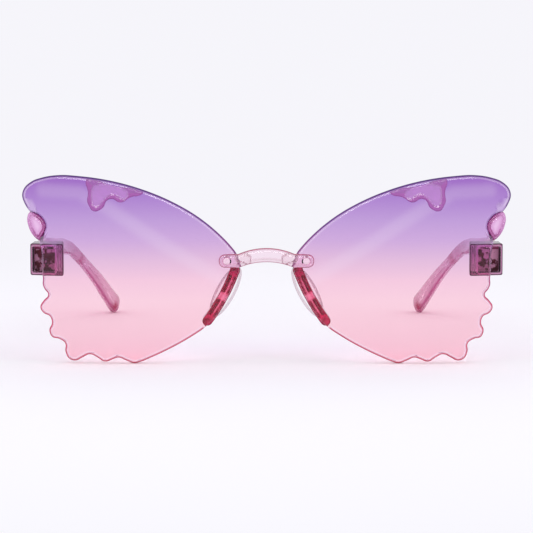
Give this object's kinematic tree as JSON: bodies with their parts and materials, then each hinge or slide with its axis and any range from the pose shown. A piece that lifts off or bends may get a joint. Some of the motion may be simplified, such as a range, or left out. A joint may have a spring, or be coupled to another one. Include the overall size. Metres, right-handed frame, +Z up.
{
  "type": "butterfly sunglasses",
  "caption": "Rimless sunglasses with scalloped butterfly-wing lenses, an arched clear bridge, nose pads and folding temples.",
  "frame": {"origin": "under the middle of the sunglasses, on the table that the lens edges and temple tips stand on", "axes": "+X across the face towards the right of the picture, +Y back along the open temples, +Z up"},
  "size_m": [0.157, 0.1459, 0.0605],
  "materials": {
    "lens": "polished, tinted purple above and pink below",
    "wing_bead": "polished clear pink",
    "wing_drop": "polished clear pink",
    "bridge": "polished, clear pale pink",
    "carrier": "glossy raspberry",
    "nose_pad": "clear soft silicone",
    "end_block": "polished see-through plum",
    "temple": "polished see-through pink-mauve",
    "hinge": "plain steel",
    "rivet": "bright steel"
  },
  "bodies": {
    "front": {"lens_left": "lens", "lens_right": "lens", "bridge": "bridge", "bridge_peg_left": "bridge", "bridge_peg_right": "bridge", "nose_pad_carrier_left": "carrier", "nose_pad_carrier_right": "carrier", "nose_pad_left": "nose_pad", "nose_pad_right": "nose_pad", "wing_drop_left": "wing_drop", "wing_drop_right": "wing_drop", "wing_bead_left": "wing_bead", "wing_bead_right": "wing_bead", "end_block_left": "end_block", "end_block_right": "end_block", "front_hinge_leaf_left": "hinge", "front_hinge_leaf_right": "hinge", "hinge_rivet_left": "rivet", "hinge_rivet_right": "rivet", "hinge_screw_left": "hinge", "hinge_screw_right": "hinge"},
    "left_temple": {"temple_left": "temple", "temple_hinge_leaf_left": "hinge", "temple_rivets_left": "rivet"},
    "right_temple": {"temple_right": "temple", "temple_hinge_leaf_right": "hinge", "temple_rivets_right": "rivet"}
  },
  "joints": [
    {"name": "left_temple_fold", "type": "hinge", "parent": "front", "child": "left_temple", "pos_m": [-0.0702, -0.0554, 0.0324], "axis": [0, 0, -1], "range_deg": [0, 88]},
    {"name": "right_temple_fold", "type": "hinge", "parent": "front", "child": "right_temple", "pos_m": [0.0702, -0.0554, 0.0324], "axis": [0, 0, 1], "range_deg": [0, 80]}
  ]
}
